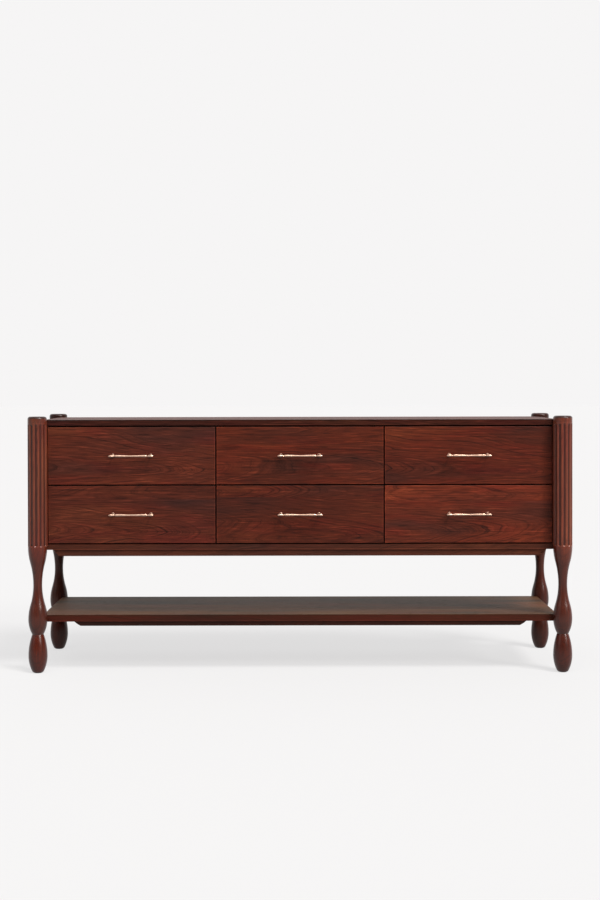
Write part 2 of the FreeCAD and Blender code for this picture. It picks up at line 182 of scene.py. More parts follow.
# Glued boards: how far chance moves each one's figure, how it is drawn and how it varies the tone
BOARD_MOVES = (4.0, 0.03, 0.05)
BOARD_DRAW = 13
BOARD_SPREAD = 0.16
PANEL_BOARD = 0.104

# How a piece's grain is turned
ALONG_X = (0, 0, 0)
ALONG_X_FLAT = (QUARTER_TURN, 0, 0)
ALONG_Z = (0, QUARTER_TURN, 0)
ALONG_Y = (0, 0, QUARTER_TURN)

# Drawer by drawer: a board's share of the front's height, the stain's tone and its tint
FRONT_FINISHES = {
    "lower_left": (0.76, 0.78, (1.0, 1.16, 1.28)),
    "lower_middle": (0.80, 0.76, (1.0, 1.08, 1.08)),
    "lower_right": (0.72, 1.18, (1.0, 1.0, 0.94)),
    "upper_left": (1.0, 0.97, (1.0, 1.16, 1.22)),
    "upper_middle": (0.70, 0.90, (1.0, 1.0, 0.90)),
    "upper_right": (1.0, 0.96, (1.0, 0.96, 0.90)),
}

# Drawer front: the width and lifts of a painted highlight on its eased edges, a rim of painted
# shade, and the depths where painted gap shade darkens its sides and where they turn brown again
EDGE_HIGHLIGHT_WIDTH = 0.0034
EDGE_HIGHLIGHT_LIFTS = {0: 0.75, 2: 0.25}
SHADED_RIM_WIDTH = 0.0007
RIM_SHADE = 0.75
GAP_SHADE_DEPTHS = (0.0004, 0.0015)
GAP_SHADE = 0.05
INNER_DEPTHS = (0.006, 0.013)
INNER_SHADE = 0.6

# Post by post: the stain's tone, the coat's weight and how deep the darker end grain and the
# painted shade of the rounded rim reach down from the top
POST_FINISHES = {
    "front_left": (1.04, 0.55, 0.010),
    "front_right": (1.24, 0.55, 0.010),
    "rear_right": (1.3, 0.35, 0.03),
    "rear_left": (0.9, 0.3, 0.03),
}

# Post: the tints of its foot, its neck and its lands, the lands' tint a painted sheen, then shades
# and the heights that they end at: painted shade towards the foot, darker legs, a painted highlight
# on the lands, painted shade with pooled stain in the flutes, and darker end grain under painted
# shade on the rim
FOOT_TINT = (1.25, 0.88, 0.48, 1.0)
NECK_TINT = (1.0, 1.06, 1.0, 1.0)
LAND_SHEEN_TINT = (1.0, 1.40, 1.46, 1.0)
FOOT_TINT_HEIGHTS = (0.12, 0.15)
FOOT_HEIGHTS = (0.05, 0.22)
FOOT_SHADE = 0.68
LEG_HEIGHTS = (0.33, 0.46)
LEG_SHADE = 0.56
LAND_RADIUS = COLUMN_RADIUS - FLUTE_DEPTH * 0.5
LAND_HIGHLIGHT = 1.25
FLUTE_SHADE = 0.26
END_GRAIN_AND_RIM_SHADE = 0.2

# Panels: the shades of their edges and borders, painted light and shade on a darker edge face,
# the tints of top and side, the top's tint a painted sheen, and the finish
PANEL_SHADES = {
    "top_panel": {"edge": 0.84, "corner": 0.28, "lip": 0.84, "front": 0.85},
    "shelf_panel": {"edge": 0.60, "corner": 0.36, "lip": 1.0, "front": 1.12, "middle": 1.85},
    "case_bottom": {"edge": 1.0, "corner": 1.0, "lip": 1.9, "front": 1.0},
}
PANEL_SHEEN_AND_SIDE_TINTS = {
    "top_panel": {"top": (0.92, 1.2, 1.2), "side": (0.92, 1.3, 1.7)},
    "shelf_panel": {"top": (0.90, 2.15, 2.1), "side": (1.0, 0.78, 1.2)},
}
PANEL_FINISHES = {
    "top_panel": {"tone": 0.75, "shine": 0.09, "gloss": 0.03},
    "shelf_panel": {
        "tone": 0.67, "shine": 0.25, "gloss": 0.0, "polish": -0.16, "figure": 0.45,
        "sheen": (250, 237, 190),
    },
}
FRONT_BORDER = 0.024
TOP_SKIN = 0.0004
BOTTOM_TINT = (1.0, 1.42, 1.5)

# Aprons: the painted shade of their lower edges and the painted light of their upper edges, and their tint
APRON_SHADES = {"case_apron": (0.69, 1.8), "shelf_apron": (0.30, 0.66)}
APRON_TINTS = {"case_apron": (0.94, 1.45, 1.55), "shelf_apron": (1.0, 1.2, 1.2)}

# Uprights of the case, with the tone of each: the dividers are painted dark as shade in the gaps
UPRIGHT_TONES_AND_GAP_SHADE = {"side_panel_left": 0.95, "side_panel_right": 0.95, "divider_left": 0.2, "divider_right": 0.2}

# Pull: where its painted shade starts below its middle and ends over it, and the levels there:
# painted shade under the bar and a painted highlight over it
UNDERSIDE_SHADE_BELOW = 0.0026
UNDERSIDE_SHADE_ABOVE = 0.0008
UNDERSIDE_SHADE = 0.26
TOPSIDE_HIGHLIGHT = 1.12
METAL_MARKS = 0.12

# Studio
FLOOR_SIZE = 60.0
FLOOR_TONE = 0.59
FLOOR_GLOW = 0.735
FLOOR_BOUNCE = 0.18
STUDIO_FRONT_LEVEL = 0.16
STUDIO_REAR_LEVEL = 0.72
LAMP_DISTANCE = 6
WARM_LAMP = (1.0, 0.98, 0.96)


# Shader building

def set_sockets(tree, node, sockets):
    """Give sockets of a node their values, or links from other sockets."""
    for key, value in sockets.items():
        if isinstance(value, bpy.types.NodeSocket):
            tree.links.new(value, node.inputs[key])
        else:
            node.inputs[key].default_value = value


def add_node(tree, kind, sockets=None, **settings):
    """A node with its settings, whose sockets get a value or a link from another socket."""
    node = tree.nodes.new(kind)
    for key, setting in settings.items():
        setattr(node, key, setting)
    set_sockets(tree, node, sockets or {})
    return node


def maths(tree, operation, first, second=0.0):
    return add_node(tree, "ShaderNodeMath", {0: first, 1: second}, operation=operation).outputs[0]


def total(tree, first, second):
    return maths(tree, "ADD", first, second)


def difference(tree, first, second):
    return maths(tree, "SUBTRACT", first, second)


def product(tree, first, second):
    return maths(tree, "MULTIPLY", first, second)


def larger(tree, first, second):
    return maths(tree, "MAXIMUM", first, second)


def is_above(tree, value, limit):
    return maths(tree, "GREATER_THAN", value, limit)


def vector_maths(tree, operation, first, second):
    return add_node(tree, "ShaderNodeVectorMath", {0: first, 1: second}, operation=operation).outputs[0]


def split(tree, vector):
    """A vector's X, Y and Z."""
    return tuple(add_node(tree, "ShaderNodeSeparateXYZ", {0: vector}).outputs)


def between(tree, value, low, high, at_low=0.0, at_high=1.0, smooth=False):
    """A level that goes from one to another as a value goes from low to high, and stays so beyond."""
    sockets = {"Value": value, "From Min": low, "From Max": high, "To Min": at_low, "To Max": at_high}
    kind = "SMOOTHSTEP" if smooth else "LINEAR"
    return add_node(tree, "ShaderNodeMapRange", sockets, interpolation_type=kind).outputs[0]


def ramp(tree, factor, *stops):
    """A colour ramp through stops of a place and a grey level or a colour."""
    node = add_node(tree, "ShaderNodeValToRGB", {"Fac": factor})
    elements = node.color_ramp.elements
    while len(elements) < len(stops):
        elements.new(1.0)
    for element, (place, level) in zip(elements, stops):
        element.position = place
        element.color = level if isinstance(level, tuple) else grey(level)
    return node.outputs["Color"]


def blend_colours(tree, kind, factor, first, second):
    sockets = {0: factor, 6: first, 7: second}
    settings = {"data_type": "RGBA", "blend_type": kind}
    return add_node(tree, "ShaderNodeMix", sockets, **settings).outputs[2]


def shaded_by(tree, factor, stain, shade):
    return blend_colours(tree, "MULTIPLY", factor, stain, shade)


def blend_shaders(tree, share, first, second):
    sockets = {0: share, 1: first.outputs[0], 2: second.outputs[0]}
    return add_node(tree, "ShaderNodeMixShader", sockets)


def stretched_noise(tree, vector, stretch, detail=3.0, roughness=0.55):
    """Noise whose cells per metre differ along, through and across the grain."""
    scaled = vector_maths(tree, "MULTIPLY", vector, stretch)
    sockets = {"Vector": scaled, "Scale": 1.0, "Detail": detail, "Roughness": roughness}
    return add_node(tree, "ShaderNodeTexNoise", sockets).outputs["Fac"]


def relief_normal(tree, height, strength, depth):
    """The normals of a surface whose fine relief follows a pattern's height."""
    sockets = {"Strength": strength, "Distance": depth, "Height": height}
    return add_node(tree, "ShaderNodeBump", sockets).outputs["Normal"]


def new_material(name):
    """A material, its tree, its shader, and the coordinates of a place on the piece."""
    material = bpy.data.materials.new(name)
    material.use_nodes = True
    tree = material.node_tree
    coordinates = add_node(tree, "ShaderNodeTexCoord").outputs["Object"]
    return material, tree, tree.nodes["Principled BSDF"], coordinates


# Stained oak

def ring_season(tree, age, pace, share):
    """One kind of ring, light and dark by turns as the wood ages, weighted by its share."""
    sockets = {"W": product(tree, age, pace), "Scale": 1.0, "Detail": 1.0, "Roughness": 0.5}
    season = add_node(tree, "ShaderNodeTexNoise", sockets, noise_dimensions="1D").outputs["Fac"]
    return product(tree, season, share)


def oak_grain_group():
    """Open-grained oak: X runs along the grain, and the rings lie round the X axis.

    The rings widen and wander along the board, which draws the arches of flat-sawn wood.
    """
    tree = bpy.data.node_groups.new("oak_grain", "ShaderNodeTree")
    for name, way, kind in (
        ("Grain", "INPUT", "NodeSocketVector"),
        ("Tone", "INPUT", "NodeSocketFloat"),
        ("Cast", "INPUT", "NodeSocketColor"),
        ("Figure", "INPUT", "NodeSocketFloat"),
        ("Color", "OUTPUT", "NodeSocketColor"),
        ("Roughness", "OUTPUT", "NodeSocketFloat"),
        ("Height", "OUTPUT", "NodeSocketFloat"),
    ):
        tree.interface.new_socket(name, in_out=way, socket_type=kind)
    given = tree.nodes.new("NodeGroupInput").outputs
    grain = given["Grain"]
    figure = given["Figure"]

    wander = stretched_noise(tree, grain, (1.3, 8, 8), detail=1.0)
    waver = stretched_noise(tree, grain, (9, 55, 55), detail=2.0)
    fibre = stretched_noise(tree, grain, (9, 230, 230), detail=3.0, roughness=0.6)
    streaks = stretched_noise(tree, grain, (14, 230, 230), detail=1.0)
    pores = stretched_noise(tree, grain, (45, 1300, 1300), detail=2.0)
    drift = stretched_noise(tree, grain, (3, 22, 22), detail=2.0)
    blotch = stretched_noise(tree, grain, (1.9, 9, 9), detail=2.0)
    redness = stretched_noise(tree, grain, (3.4, 17, 17), detail=2.0)

    along, through, across = split(tree, grain)
    squares = total(tree, product(tree, through, through), product(tree, across, across))
    off_pith = maths(tree, "SQRT", squares)
    age = total(tree, off_pith, product(tree, along, RING_SLANT))
    age = total(tree, age, product(tree, wander, RING_WANDER))
    age = total(tree, age, product(tree, waver, RING_WAVER))
    rings = total(tree, *[ring_season(tree, age, pace, share) for pace, share in RING_PACES])

    stain = ramp(tree, blotch, *STAINS)
    red_share = ramp(tree, redness, (0.48, 0.0), (0.70, 0.45))
    stain = blend_colours(tree, "MIX", red_share, stain, RED_STAIN)
    ring_shade = ramp(tree, rings, (0.33, 0.34), (0.40, 0.66), (0.45, 0.98), (0.56, 1.06), (0.68, 1.40))
    ring_share = product(tree, ramp(tree, drift, (0.34, 0.25), (0.60, 1.0)), figure)
    stain = shaded_by(tree, ring_share, stain, ring_shade)
    fibre_shade = ramp(tree, fibre, (0.28, 0.70), (0.50, 1.0), (0.74, 1.30))
    stain = shaded_by(tree, product(tree, figure, FIBRE_SHARE), stain, fibre_shade)
    streak_shade = ramp(tree, streaks, (0.34, 0.56), (0.42, 0.98), (0.59, 1.02), (0.68, 1.6))
    stain = shaded_by(tree, product(tree, figure, STREAK_SHARE), stain, streak_shade)
    early_wood = ramp(tree, rings, (0.38, 1.0), (0.50, 0.25), (0.70, 0.10))
    open_pores = ramp(tree, pores, (0.56, 0.0), (0.66, 1.0))
    pore_share = product(tree, early_wood, open_pores)
    stain = blend_colours(tree, "MIX", product(tree, pore_share, PORE_SHARE), stain, PORE_STAIN)
    tone = add_node(tree, "ShaderNodeCombineXYZ", {axis: given["Tone"] for axis in range(3)}).outputs[0]
    stain = shaded_by(tree, 1.0, stain, tone)
    stain = shaded_by(tree, 1.0, stain, given["Cast"])

    roughness = total(tree, product(tree, pore_share, PORE_ROUGHNESS), OAK_ROUGHNESS)
    roughness = total(tree, product(tree, fibre, FIBRE_ROUGHNESS), roughness)
    height = difference(tree, product(tree, fibre, FIBRE_HEIGHT), pore_share)
    end = add_node(tree, "NodeGroupOutput", {"Color": stain, "Roughness": roughness, "Height": height})
    end.is_active_output = True
    return tree


OAK_GRAIN = oak_grain_group()


def glued_boards(tree, turned, pith, width, tone):
    """The figure and the tone of strips of this width, both drawn by chance for each strip."""
    across = split(tree, turned)[2]
    strip = maths(tree, "FLOOR", maths(tree, "DIVIDE", difference(tree, across, pith[2]), width))
    place = total(tree, strip, pith[0] * BOARD_DRAW)
    chance = add_node(tree, "ShaderNodeTexWhiteNoise", {"W": place}, noise_dimensions="1D").outputs
    middle = product(tree, total(tree, strip, 0.5), width)
    centre = add_node(tree, "ShaderNodeCombineXYZ", {2: middle}).outputs[0]
    centred = vector_maths(tree, "SUBTRACT", turned, centre)
    move = vector_maths(tree, "MULTIPLY", chance["Color"], BOARD_MOVES)
    spread = product(tree, difference(tree, chance["Value"], 0.5), BOARD_SPREAD)
    return vector_maths(tree, "ADD", centred, move), total(tree, spread, tone)


def stained_oak(
    name, turn, pith, tone=1.0, boards=None, shade=None,
    shine=0.16, polish=0.0, gloss=0.05, cast=(1.0, 1.0, 1.0), figure=1.0, relief=0.35,
    sheen=(255, 238, 228),
):
    """Stained oak whose grain is turned to lie along the piece, its pith this far off.

    Boards are the width of the strips that a panel is glued up from: each gets its own figure.
    Shade is a function that draws a place-dependent tone in the material's tree: painted light and
    shade, with darker end grain and pooled stain on the posts.
    Shine is how much the finish mirrors, polish how far it is rubbed smoother than a panel's, and
    gloss the weight of the clear coat. Cast tints the stain, or draws a tint by place, figure is how
    strongly the wood is marked, relief how open its pores are, and sheen the colour that it mirrors.
    """
    material, tree, shader, coordinates = new_material(name)
    sockets = {"Vector": coordinates, "Rotation": turn}
    turned = add_node(tree, "ShaderNodeMapping", sockets, vector_type="POINT").outputs[0]
    if boards:
        turned, tone = glued_boards(tree, turned, pith, boards, tone)
    if shade:
        tone = product(tree, shade(tree, coordinates), tone)
    sockets = {
        "Grain": vector_maths(tree, "SUBTRACT", turned, pith),
        "Tone": tone,
        "Cast": cast(tree, coordinates) if callable(cast) else (*cast, 1.0),
        "Figure": figure,
    }
    grain = add_node(tree, "ShaderNodeGroup", sockets, node_tree=OAK_GRAIN).outputs
    set_sockets(tree, shader, {
        "Base Color": grain["Color"],
        "Roughness": difference(tree, grain["Roughness"], polish),
        "Normal": relief_normal(tree, grain["Height"], relief, OAK_RELIEF),
        "Specular IOR Level": shine,
        "Specular Tint": colour(*sheen),
        "Coat Weight": gloss,
        "Coat Roughness": COAT_ROUGHNESS,
    })
    return material


def painted_edge_highlight_and_gap_shade(low, high):
    """The shade of a flat front: a painted highlight along its eased edges, a rim of painted shade,
    and painted gap shade on its sides.

    Behind that dark front part, a side is brown again, as an opened drawer shows.
    """
    def draw(tree, coordinates):
        parts = split(tree, coordinates)
        # Painted highlight along the eased edges, and a rim of painted shade round the face
        edge_highlight = 0.0
        rim = 0.0
        for axis, lift in EDGE_HIGHLIGHT_LIFTS.items():
            middle = (low[axis] + high[axis]) / 2
            half = (high[axis] - low[axis]) / 2
            off_middle = maths(tree, "ABSOLUTE", difference(tree, parts[axis], middle))
            glint_from, glint_to = half - EDGE_HIGHLIGHT_WIDTH, half - EDGE_HIGHLIGHT_WIDTH * 0.5
            edge_glint = between(tree, off_middle, glint_from, glint_to, 0.0, lift * 2, smooth=True)
            edge_highlight = larger(tree, edge_glint, edge_highlight)
            rim = larger(tree, is_above(tree, off_middle, half - SHADED_RIM_WIDTH), rim)
        patchy = stretched_noise(tree, coordinates, (30, 30, 30), detail=2.0)
        face = total(tree, product(tree, edge_highlight, patchy), 1.0)
        # Painted gap shade: dark just behind the face, brown again deeper in
        gap_shade_from, gap_shade_to = [low.y + depth for depth in GAP_SHADE_DEPTHS]
        sides = between(tree, parts[1], gap_shade_from, gap_shade_to, 1.0, GAP_SHADE)
        sides = product(tree, sides, difference(tree, 1.0, product(tree, rim, RIM_SHADE)))
        inner_from, inner_to = [low.y + depth for depth in INNER_DEPTHS]
        inner = between(tree, parts[1], inner_from, inner_to, 0.0, INNER_SHADE)
        return product(tree, face, total(tree, sides, inner))

    return draw


def off_axis(tree, parts, centre):
    """How far a place lies from a post's axis."""
    spokes = [difference(tree, parts[axis], centre[axis]) for axis in (0, 1)]
    squares = [product(tree, spoke, spoke) for spoke in spokes]
    return maths(tree, "SQRT", total(tree, *squares))


def painted_land_sheen_and_foot_tint(centre):
    """The tint of a post: red in the flutes, paler on the lands between them as a painted sheen, and
    warmest on its foot.
    """
    def draw(tree, coordinates):
        parts = split(tree, coordinates)
        # Painted sheen: the lands are tinted paler
        land = is_above(tree, off_axis(tree, parts, centre), LAND_RADIUS)
        share = product(tree, land, is_above(tree, parts[2], FLUTE_LOW))
        foot = between(tree, parts[2], *FOOT_TINT_HEIGHTS, 1.0, 0.0)
        turned = blend_colours(tree, "MIX", foot, NECK_TINT, FOOT_TINT)
        return blend_colours(tree, "MIX", share, turned, LAND_SHEEN_TINT)

    return draw


def post_stain_and_painted_shade(centre, top, top_shade_depth):
    """The shade of a post: a painted highlight on its lands, painted shade with pooled stain in its
    flutes, darker legs, painted shade towards the foot, and darker end grain with a painted shade on
    the rim.
    """
    def draw(tree, coordinates):
        parts = split(tree, coordinates)
        height = parts[2]
        radius = off_axis(tree, parts, centre)
        # Painted shade with pooled stain deep in the flutes, and a painted highlight on the lands
        hollow = between(tree, radius, COLUMN_RADIUS - FLUTE_DEPTH, LAND_RADIUS, FLUTE_SHADE, LAND_HIGHLIGHT)
        below_rim = maths(tree, "LESS_THAN", height, FLUTE_HIGH + 0.004)
        fluted = product(tree, is_above(tree, height, FLUTE_LOW), below_rim)
        column = total(tree, product(tree, difference(tree, hollow, 1.0), fluted), 1.0)
        # Darker end grain, and painted shade on the rounded rim
        end_from, end_to = top - top_shade_depth, top - top_shade_depth * 0.4
        top_shade = between(tree, height, end_from, end_to, 1.0, END_GRAIN_AND_RIM_SHADE, smooth=True)
        # Darker legs below the column, and painted shade towards the foot
        legs = between(tree, height, *LEG_HEIGHTS, LEG_SHADE, 1.0, smooth=True)
        feet = between(tree, height, *FOOT_HEIGHTS, FOOT_SHADE, 1.0)
        return product(tree, product(tree, column, top_shade), product(tree, legs, feet))

    return draw


def painted_panel_light_and_shade(low, high, edge, corner, lip, front, middle=1.0):
    """The shade of a panel: its edge face darker than its top, with painted light and shade.

    Corner is a painted shade line just under the top, lip the level of the lower corner, a painted
    highlight on the case bottom, front that of the top's front border, a painted highlight on the
    shelf and a painted shade on the top panel, and middle a painted light on the strip halfway to the
    rear.
    """
    # Up the edge face: the lower corner, the darker edge, and a painted shade line under the top
    rising = (
        (0.0, lip), (0.10, lip), (0.18, edge), (0.82, edge),
        (0.88, corner), (0.985, corner), (0.99, 1.0),
    )
    # Painted light on the strip halfway to the rear
    receding = ((0.0, 1.0), (0.2, 1.0), (0.42, middle), (0.62, middle), (0.8, 1.0), (1.0, 1.0))

    def draw(tree, coordinates):
        parts = split(tree, coordinates)
        height = between(tree, parts[2], low.z, high.z)
        depth = between(tree, parts[1], low.y, high.y)
        border = between(tree, parts[1], low.y, low.y + FRONT_BORDER, front, 1.0)
        top = product(tree, border, ramp(tree, depth, *receding))
        return product(tree, ramp(tree, height, *rising), top)

    return draw


def painted_apron_light_and_shade(low, high, bottom, top):
    """The painted light and shade of an apron, darker evenly from its upper to its lower edge."""
    def draw(tree, coordinates):
        return between(tree, split(tree, coordinates)[2], low.z, high.z, bottom, top)

    return draw


def painted_sheen_top(high, top, side):
    """The tint of a panel: a painted sheen on its top, and another tint on its edges."""
    def draw(tree, coordinates):
        # The top's tint is a painted sheen
        share = is_above(tree, split(tree, coordinates)[2], high.z - TOP_SKIN)
        return blend_colours(tree, "MIX", share, (*side, 1.0), (*top, 1.0))

    return draw


# Other finishes

def plain_wood(name, turn, light, dark):
    """Pale drawer wood with fine straight grain under a satin lacquer."""
    material, tree, shader, coordinates = new_material(name)
    grain = add_node(tree, "ShaderNodeMapping", {"Vector": coordinates, "Rotation": turn}).outputs[0]
    streaks = stretched_noise(tree, grain, (5, 160, 160), detail=4.0)
    clouds = stretched_noise(tree, grain, (3, 14, 14), detail=2.0)
    mixed = total(tree, product(tree, streaks, 0.6), product(tree, clouds, 0.4))
    set_sockets(tree, shader, {
        "Base Color": ramp(tree, mixed, (0.32, dark), (0.66, light)),
        "Roughness": 0.42,
        "Normal": relief_normal(tree, streaks, 0.15, 0.0002),
    })
    return material


def metal(name, light, dark, roughness, stretch, shade=None):
    """A metal with faint marks from turning or plating, and a shade by place where one is given."""
    material, tree, shader, coordinates = new_material(name)
    marks = stretched_noise(tree, coordinates, stretch, detail=3.0)
    tint = ramp(tree, marks, (0.35, dark), (0.65, light))
    if shade:
        tint = shaded_by(tree, 1.0, tint, shade(tree, coordinates))
    set_sockets(tree, shader, {
        "Base Color": tint,
        "Roughness": total(tree, product(tree, marks, METAL_MARKS), roughness),
        "Metallic": 1.0,
    })
    return material


def painted_underside_shade(height):
    """A painted shade under a pull whose middle is at this height, and a painted highlight over it."""
    def draw(tree, coordinates):
        low, high = height - UNDERSIDE_SHADE_BELOW, height + UNDERSIDE_SHADE_ABOVE
        place = split(tree, coordinates)[2]
        return between(tree, place, low, high, UNDERSIDE_SHADE, TOPSIDE_HIGHLIGHT, smooth=True)

    return draw


def moulded_plastic(name, light, dark):
    """A matt plastic with the fine speckle of its mould."""
    material, tree, shader, coordinates = new_material(name)
    speckle = stretched_noise(tree, coordinates, (900, 900, 900), detail=2.0)
    set_sockets(tree, shader, {
        "Base Color": ramp(tree, speckle, (0.3, dark), (0.7, light)),
        "Roughness": 0.6,
        "Normal": relief_normal(tree, speckle, 0.2, 0.0002),
    })
    return material


# Mesh building

def placed(name, data):
    """A new object in the scene, for a mesh, a lamp or a camera."""
    thing = bpy.data.objects.new(name, data)
    bpy.context.scene.collection.objects.link(thing)
    return thing


def mesh_from(name, bm):
    """The mesh of a bmesh, which is used up."""
    mesh = bpy.data.meshes.new(name)
    bm.to_mesh(mesh)
    bm.free()
    return mesh


def finished_piece(name, bm, material, body, sharp=math.radians(35)):
    """Turn a bmesh into a piece that rides on a body, with smooth faces and crisp edges."""
    bmesh.ops.remove_doubles(bm, verts=bm.verts, dist=1e-7)
    bmesh.ops.recalc_face_normals(bm, faces=bm.faces)
    mesh = mesh_from(name, bm)
    mesh.shade_smooth()
    mesh.set_sharp_from_angle(angle=sharp)
    mesh.materials.append(material)
    piece = placed(name, mesh)
    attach(piece, body)
    return piece


def turn_profile(bm, points, centre, axis, radial, steps):
    """Spin an outline of (along the axis, radius) points into a closed turned shape."""
    ring = [bm.verts.new(centre + axis * along + radial * radius) for along, radius in points]
    edges = [bm.edges.new(pair) for pair in zip(ring, ring[1:])]
    bmesh.ops.spin(
        bm, geom=ring + edges, cent=centre, axis=axis, angle=FULL_TURN, steps=steps, use_merge=True,
    )


# Posts

def tangent_arc(start, end, level_at, steps):
    """Points after start on an arc to end whose centre is as high as one of its ends."""
    (high_a, radius_a), (high_b, radius_b) = (start, end) if level_at == "start" else (end, start)
    gap_high = high_b - high_a
    gap_radius = radius_b - radius_a
    reach = (gap_high**2 + gap_radius**2) / (2 * gap_radius)
    centre = (high_a, radius_a + reach)
    angles = [math.atan2(point[1] - centre[1], point[0] - centre[0]) for point in (start, end)]
    turn = (angles[1] - angles[0] + math.pi) % FULL_TURN - math.pi
    bow = abs(reach)
    points = []
    for step in range(1, steps + 1):
        angle = angles[0] + turn * step / steps
        points.append((centre[0] + bow * math.cos(angle), centre[1] + bow * math.sin(angle)))
    return points


def baluster_outline():
    """The lower part of a post's outline: foot, waist, bulge, neck and the flare to the column."""
    lower_turn = (
        BULGE_HIGH + (NECK_HIGH - BULGE_HIGH) * TURN_SHARE,
        BULGE_RADIUS - (BULGE_RADIUS - NECK_RADIUS) * TURN_SHARE,
    )
    upper_turn = (
        COLUMN_LOW - (COLUMN_LOW - NECK_HIGH) * TURN_SHARE,
        COLUMN_RADIUS - (COLUMN_RADIUS - NECK_RADIUS) * TURN_SHARE,
    )
    turns = (
        ((EGG_HIGH, EGG_RADIUS), "end", 16),
        ((WAIST_HIGH, WAIST_RADIUS), "start", 18),
        ((BULGE_HIGH, BULGE_RADIUS), "end", 14),
        (lower_turn, "start", 12),
        ((NECK_HIGH, NECK_RADIUS), "end", 12),
        (upper_turn, "start", 12),
        ((COLUMN_LOW, COLUMN_RADIUS), "end", 14),
    )
    points = [(FOOT_LOW, 0.0), (FOOT_LOW, FOOT_RADIUS - FOOT_EASE), (FOOT_LOW + FOOT_EASE, FOOT_RADIUS)]
    start = (FOOT_LOW, FOOT_RADIUS)
    for end, level_at, steps in turns:
        arc = tangent_arc(start, end, level_at, steps)
        points += [point for point in arc if point[0] > FOOT_LOW + FOOT_EASE * 1.5]
        start = end
    return points


def post_outline():
    """The outline of a turned post as (height, radius) points, from the middle of the foot up.

    The column has close rows of points where its flutes end, for the round shape of those ends.
    """
    points = baluster_outline()
    rows = [FLUTE_LOW + FLUTE_END_REACH * row / FLUTE_END_ROWS for row in range(FLUTE_END_ROWS + 1)]
    low, high = rows[-1], FLUTE_HIGH - FLUTE_END_REACH
    rows += [low + (high - low) * row / FLUTE_MIDDLE_ROWS for row in range(1, FLUTE_MIDDLE_ROWS)]
    rows += [FLUTE_HIGH - FLUTE_END_REACH * row / FLUTE_END_ROWS for row in range(FLUTE_END_ROWS, -1, -1)]
    points += [(height, COLUMN_RADIUS) for height in rows]
    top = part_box("leg_front_left")[1].z
    for step in range(RIM_STEPS + 1):
        angle = QUARTER_TURN * step / RIM_STEPS
        rise = RIM_ROUND * math.sin(angle)
        draw = RIM_ROUND * (1 - math.cos(angle))
        points.append((top - RIM_ROUND + rise, COLUMN_RADIUS - draw))
    points.append((top, 0.0))
    return points


def flute_radius(angle, height):
    """How far from the post's axis its surface lies, in a flute or on the land between two."""
    pitch = FULL_TURN / FLUTES
    off_middle = abs((angle + pitch / 2) % pitch - pitch / 2)
    past_end = max(FLUTE_LOW + FLUTE_END_REACH - height, height - FLUTE_HIGH + FLUTE_END_REACH, 0.0)
    if past_end >= FLUTE_END_REACH:
        return COLUMN_RADIUS
    cutter = math.sqrt(FLUTE_CUTTER**2 - past_end**2)
    middle = COLUMN_RADIUS + FLUTE_CUTTER - FLUTE_DEPTH
    inside = cutter**2 - (middle * math.sin(off_middle)) ** 2
    if inside <= 0:
        return COLUMN_RADIUS
    return min(middle * math.cos(off_middle) - math.sqrt(inside), COLUMN_RADIUS)


def cut_flutes(bm, centre):
    """Sink the flutes into a post's column."""
    for vert in bm.verts:
        spoke = Vector((vert.co.x - centre.x, vert.co.y - centre.y))
        on_column = FLUTE_LOW < vert.co.z < FLUTE_HIGH and spoke.length > COLUMN_RADIUS - 1e-6
        if on_column:
            radius = flute_radius(math.atan2(spoke.y, spoke.x), vert.co.z)
            spoke = spoke.normalized() * radius
            vert.co.x = centre.x + spoke.x
            vert.co.y = centre.y + spoke.y


def cut_away(piece, low, high):
    """Cut a square corner out of a piece, between two corners of a block."""
    bm = bmesh.new()
    bmesh.ops.create_cube(bm, size=1.0)
    bmesh.ops.scale(bm, vec=high - low, verts=bm.verts)
    bmesh.ops.translate(bm, vec=(low + high) / 2, verts=bm.verts)
    cutter = placed("cutter", mesh_from("cutter", bm))
    cut = piece.modifiers.new("seat", "BOOLEAN")
    cut.operation = "DIFFERENCE"
    cut.solver = "EXACT"
    cut.object = cutter
    shaped = piece.evaluated_get(bpy.context.evaluated_depsgraph_get())
    result = bpy.data.meshes.new_from_object(shaped)
    piece.modifiers.remove(cut)
    old = piece.data
    piece.data = result
    bpy.data.meshes.remove(old)
    bpy.data.objects.remove(cutter)


def cut_seats(post, centre):
    """Cut the seats for the case and for the shelf out of the inner corner of a post."""
    side = 1 if centre.x > 0 else -1
    end = 1 if centre.y > 0 else -1
    for panel_low, panel_high in (
        (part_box("case_bottom")[0].z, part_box("top_panel")[1].z),
        (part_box("shelf_panel")[0].z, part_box("shelf_panel")[1].z),
    ):
        near = Vector((centre.x - SEAT_INSET * side, centre.y - SEAT_INSET * end, panel_low))
        far = near - Vector((COLUMN_RADIUS * side, COLUMN_RADIUS * end, panel_low - panel_high))
        corners = [sorted(pair) for pair in zip(near, far)]
        cut_away(post, Vector([pair[0] for pair in corners]), Vector([pair[1] for pair in corners]))
    post.data.shade_smooth()
    post.data.set_sharp_from_angle(angle=POST_SHARP)


